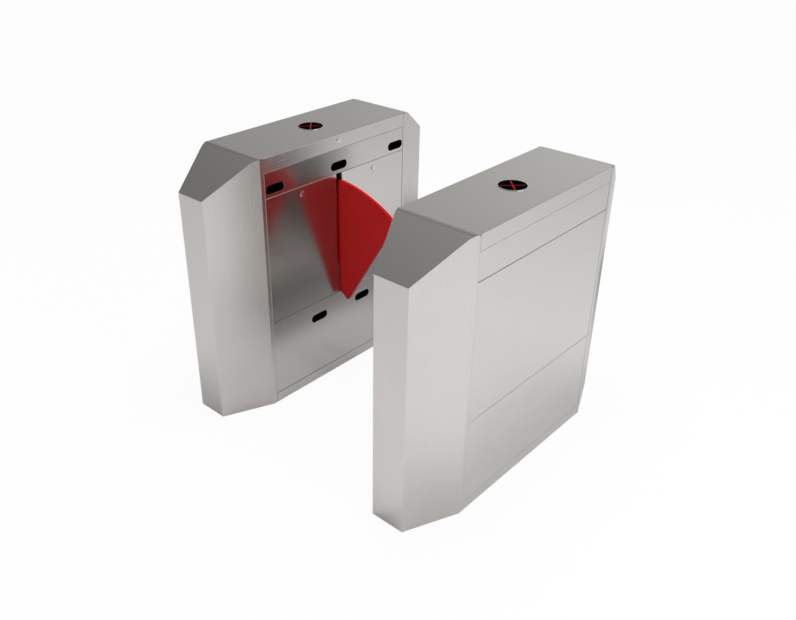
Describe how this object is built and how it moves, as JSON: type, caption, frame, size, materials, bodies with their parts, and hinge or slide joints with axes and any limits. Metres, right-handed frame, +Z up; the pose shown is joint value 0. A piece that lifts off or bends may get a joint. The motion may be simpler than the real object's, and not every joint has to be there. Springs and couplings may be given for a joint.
{
  "type": "flap barrier turnstile",
  "caption": "Walk-through turnstile lane: paired stainless cabinets with chamfered ends and sloped tops, each swinging a red fan-shaped flap out of a slot to bar the way.",
  "frame": {"origin": "on the floor, midway between the two cabinets and midway along them", "axes": "+Z up, +Y the way people walk through, +X across the lane to the right"},
  "size_m": [1.17, 1.12, 0.9811],
  "materials": {
    "stainless": "satin brushed",
    "dark_steel": "powder coated",
    "bright_steel": "zinc plated",
    "red_acrylic": "gloss",
    "chrome": "polished",
    "black_lens": "gloss",
    "red_light": "glowing",
    "black_plastic": "matt",
    "brass": "machined",
    "rubber": "matt",
    "motor_paint": "satin paint",
    "circuit_board": "solder mask",
    "aluminium": "as extruded"
  },
  "bodies": {
    "cabinets": {"base_frame_left": "stainless", "base_frame_right": "stainless", "front_cap_left": "stainless", "front_cap_right": "stainless", "rear_cap_left": "stainless", "rear_cap_right": "stainless", "frame_left": "dark_steel", "frame_right": "dark_steel", "sensor_band_left": "stainless", "sensor_band_right": "stainless", "lower_panel_left": "stainless", "lower_panel_right": "stainless", "outer_panel_left": "stainless", "outer_panel_right": "stainless", "mechanism_frame_left": "dark_steel", "mechanism_frame_right": "dark_steel", "outer_bands": "stainless", "outer_lower_panels": "stainless", "sensor_lenses": "black_lens", "sensor_modules": "black_plastic", "shaft_bearings": "bright_steel", "stop_buffers": "rubber", "gear_motors": "motor_paint", "control_boards": "circuit_board", "power_supplies": "aluminium", "cable_glands": "rubber", "lid_hinges": "bright_steel", "foot_screws": "bright_steel"},
    "flap_left": {"flap_left": "red_acrylic", "flap_arm_left": "bright_steel", "sector_gear_left": "brass"},
    "pinion_left": {"pinion_left": "brass"},
    "lid_left": {"lid_left": "stainless", "lamp_bezel_left": "chrome", "lamp_lens_left": "black_lens", "lamp_cross_left": "red_light", "lid_barrel_left": "chrome"},
    "lid_lock_left": {"lid_lock_left": "chrome"},
    "front_door_left": {"front_door_left": "stainless", "front_barrel_left": "chrome"},
    "front_lock_left": {"front_lock_left": "chrome"},
    "rear_door_left": {"rear_door_left": "stainless", "rear_barrel_left": "chrome"},
    "rear_lock_left": {"rear_lock_left": "chrome"},
    "flap_right": {"flap_right": "red_acrylic", "flap_arm_right": "bright_steel", "sector_gear_right": "brass"},
    "pinion_right": {"pinion_right": "brass"},
    "lid_right": {"lid_right": "stainless", "lamp_bezel_right": "chrome", "lamp_lens_right": "black_lens", "lamp_cross_right": "red_light", "lid_barrel_right": "chrome"},
    "lid_lock_right": {"lid_lock_right": "chrome"},
    "front_door_right": {"front_door_right": "stainless", "front_barrel_right": "chrome"},
    "front_lock_right": {"front_lock_right": "chrome"},
    "rear_door_right": {"rear_door_right": "stainless", "rear_barrel_right": "chrome"},
    "rear_lock_right": {"rear_lock_right": "chrome"}
  },
  "joints": [
    {"name": "flap_swing_left", "type": "hinge", "parent": "cabinets", "child": "flap_left", "pos_m": [-0.33, 0, 0.27], "axis": [0, -1, 0], "range_deg": [0, 31]},
    {"name": "pinion_spin_left", "type": "hinge", "parent": "cabinets", "child": "pinion_left", "pos_m": [-0.4425, 0.024, 0.27], "axis": [0, -1, 0], "range_deg": [-124, 0]},
    {"name": "lid_hinge_left", "type": "hinge", "parent": "cabinets", "child": "lid_left", "pos_m": [-0.577, 0, 0.95], "axis": [0, -1, 0], "range_deg": [0, 70]},
    {"name": "lid_lock_turn_left", "type": "hinge", "parent": "lid_left", "child": "lid_lock_left", "pos_m": [-0.3, 0, 0.956], "axis": [1, 0, 0], "range_deg": [0, 90]},
    {"name": "front_door_hinge_left", "type": "hinge", "parent": "cabinets", "child": "front_door_left", "pos_m": [-0.3, -0.185, 0.349], "axis": [0, 1, 0], "range_deg": [0, 30]},
    {"name": "front_lock_turn_left", "type": "hinge", "parent": "front_door_left", "child": "front_lock_left", "pos_m": [-0.3, -0.185, 0.806], "axis": [1, 0, 0], "range_deg": [0, 90]},
    {"name": "rear_door_hinge_left", "type": "hinge", "parent": "cabinets", "child": "rear_door_left", "pos_m": [-0.3, 0.185, 0.349], "axis": [0, 1, 0], "range_deg": [0, 30]},
    {"name": "rear_lock_turn_left", "type": "hinge", "parent": "rear_door_left", "child": "rear_lock_left", "pos_m": [-0.3, 0.185, 0.806], "axis": [1, 0, 0], "range_deg": [0, 90]},
    {"name": "flap_swing_right", "type": "hinge", "parent": "cabinets", "child": "flap_right", "pos_m": [0.33, 0, 0.27], "axis": [0, 1, 0], "range_deg": [0, 31]},
    {"name": "pinion_spin_right", "type": "hinge", "parent": "cabinets", "child": "pinion_right", "pos_m": [0.4425, 0.024, 0.27], "axis": [0, 1, 0], "range_deg": [-124, 0]},
    {"name": "lid_hinge_right", "type": "hinge", "parent": "cabinets", "child": "lid_right", "pos_m": [0.577, 0, 0.95], "axis": [0, 1, 0], "range_deg": [0, 70]},
    {"name": "lid_lock_turn_right", "type": "hinge", "parent": "lid_right", "child": "lid_lock_right", "pos_m": [0.3, 0, 0.956], "axis": [1, 0, 0], "range_deg": [0, 90]},
    {"name": "front_door_hinge_right", "type": "hinge", "parent": "cabinets", "child": "front_door_right", "pos_m": [0.3, -0.185, 0.349], "axis": [0, -1, 0], "range_deg": [0, 30]},
    {"name": "front_lock_turn_right", "type": "hinge", "parent": "front_door_right", "child": "front_lock_right", "pos_m": [0.3, -0.185, 0.806], "axis": [1, 0, 0], "range_deg": [0, 90]},
    {"name": "rear_door_hinge_right", "type": "hinge", "parent": "cabinets", "child": "rear_door_right", "pos_m": [0.3, 0.185, 0.349], "axis": [0, -1, 0], "range_deg": [0, 30]},
    {"name": "rear_lock_turn_right", "type": "hinge", "parent": "rear_door_right", "child": "rear_lock_right", "pos_m": [0.3, 0.185, 0.806], "axis": [1, 0, 0], "range_deg": [0, 90]}
  ],
  "couplings": [
    {"joint": "pinion_spin_left", "follows": "flap_swing_left", "ratio": -4},
    {"joint": "pinion_spin_right", "follows": "flap_swing_right", "ratio": -4}
  ]
}
